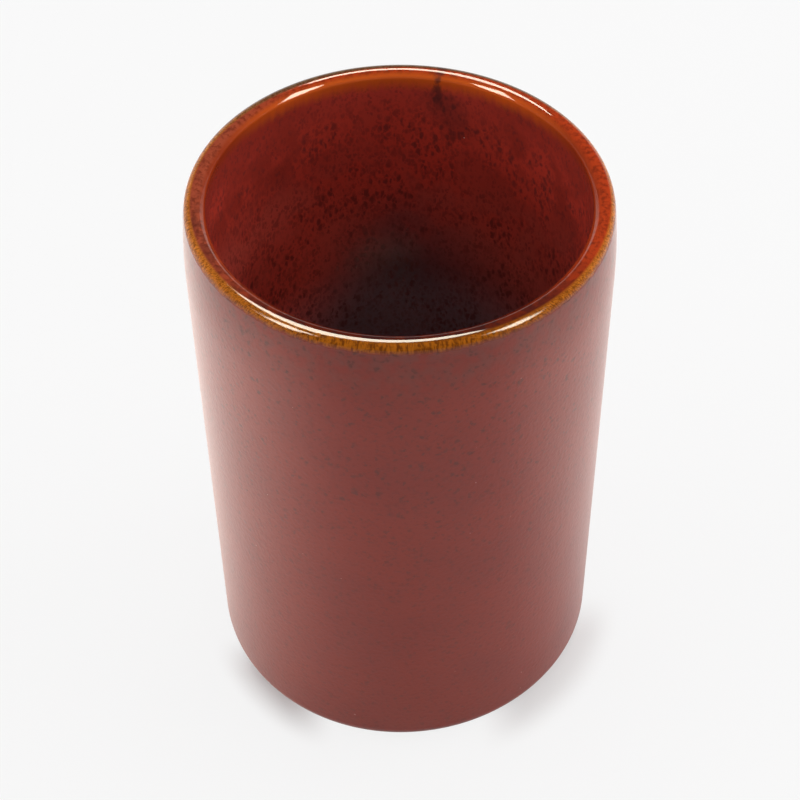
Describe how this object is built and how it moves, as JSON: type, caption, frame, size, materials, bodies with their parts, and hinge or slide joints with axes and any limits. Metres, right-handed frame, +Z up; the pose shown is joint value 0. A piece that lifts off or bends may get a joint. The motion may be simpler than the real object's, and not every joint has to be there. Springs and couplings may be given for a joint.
{
  "type": "espresso cup",
  "caption": "Tall handleless stoneware espresso cup, nearly straight-sided, with a satin red-brown outside, an amber breaking rim and a glossy dark red inside.",
  "frame": {"origin": "middle of the foot ring, on the plane that the cup stands on", "axes": "+Z up along the cup's axis, from the foot to the lip; X and Y lie in the plane of the foot"},
  "size_m": [0.0548, 0.0548, 0.08],
  "materials": {
    "stoneware": "bare fired buff clay, matt and slightly gritty",
    "satin_glaze": "satin red-brown glaze with a fine speckle",
    "amber_glaze": "thin gloss glaze breaking to amber, with dark streaks",
    "gloss_glaze": "gloss dark red glaze with dark iron specks"
  },
  "bodies": {
    "root": {"stoneware_body": "stoneware", "outside_glaze": "satin_glaze", "rim_glaze": "amber_glaze", "inside_glaze": "gloss_glaze"}
  },
  "joints": []
}
